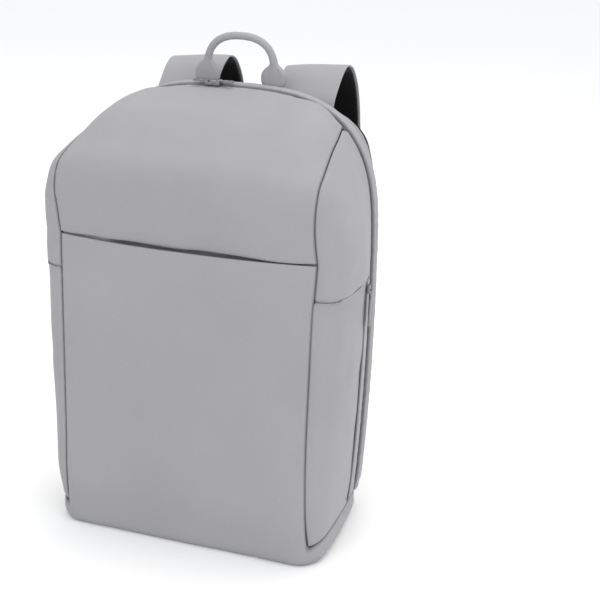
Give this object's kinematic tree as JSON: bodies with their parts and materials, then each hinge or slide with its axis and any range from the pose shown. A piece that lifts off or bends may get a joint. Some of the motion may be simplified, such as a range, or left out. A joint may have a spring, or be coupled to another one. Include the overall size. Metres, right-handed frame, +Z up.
{
  "type": "laptop backpack",
  "caption": "Slim light grey laptop backpack with a zip arch, slip pockets, a grab handle and padded straps",
  "frame": {"origin": "on the floor, under the middle of the bag's bounding box", "axes": "+Z up, +Y towards the wearer's back (the straps), -Y the bag's front, +X the bag's right side seen from the front, where the side zip is"},
  "size_m": [0.326, 0.2496, 0.5017],
  "materials": {
    "cloth": "matte coated",
    "cloth_shade": "matte coated",
    "mesh_lining": "open mesh",
    "zip_tape": "woven",
    "pull_metal": "satin",
    "buckle_plastic": "satin"
  },
  "bodies": {
    "bag": {"side_panel_right": "cloth", "side_panel_left": "cloth", "side_pocket_right": "cloth", "side_pocket_left": "cloth", "front_pocket_base": "cloth", "upper_front_panel": "cloth", "zip_band": "cloth", "carry_handle": "cloth", "strap_right": "cloth", "strap_left": "cloth", "foot_tab_right": "cloth", "foot_tab_left": "cloth", "webbing_right": "cloth", "webbing_left": "cloth", "side_zip_flap": "cloth", "rear_gusset": "cloth_shade", "back_panel": "mesh_lining", "strap_lining_right": "mesh_lining", "strap_lining_left": "mesh_lining", "main_zip": "zip_tape", "side_zip": "zip_tape", "top_left_slider": "pull_metal", "top_right_slider": "pull_metal", "side_slider": "pull_metal", "ladder_buckle_right": "buckle_plastic", "ladder_buckle_left": "buckle_plastic"},
    "top_left_pull": {"top_left_pull": "pull_metal"},
    "top_right_pull": {"top_right_pull": "pull_metal"},
    "side_pull": {"side_pull": "pull_metal"}
  },
  "joints": [
    {"name": "top_left_pull_turn", "type": "hinge", "parent": "bag", "child": "top_left_pull", "pos_m": [-0.029, 0.00701, 0.45466], "axis": [0, 1, 0], "range_deg": [0, 105]},
    {"name": "top_right_pull_turn", "type": "hinge", "parent": "bag", "child": "top_right_pull", "pos_m": [-0.0161, 0.00701, 0.45483], "axis": [0, -1, 0], "range_deg": [0, 105]},
    {"name": "side_pull_turn", "type": "hinge", "parent": "bag", "child": "side_pull", "pos_m": [0.16119, -0.02427, 0.26696], "axis": [0.1674, -0.9859, 0], "range_deg": [0, 165]}
  ]
}
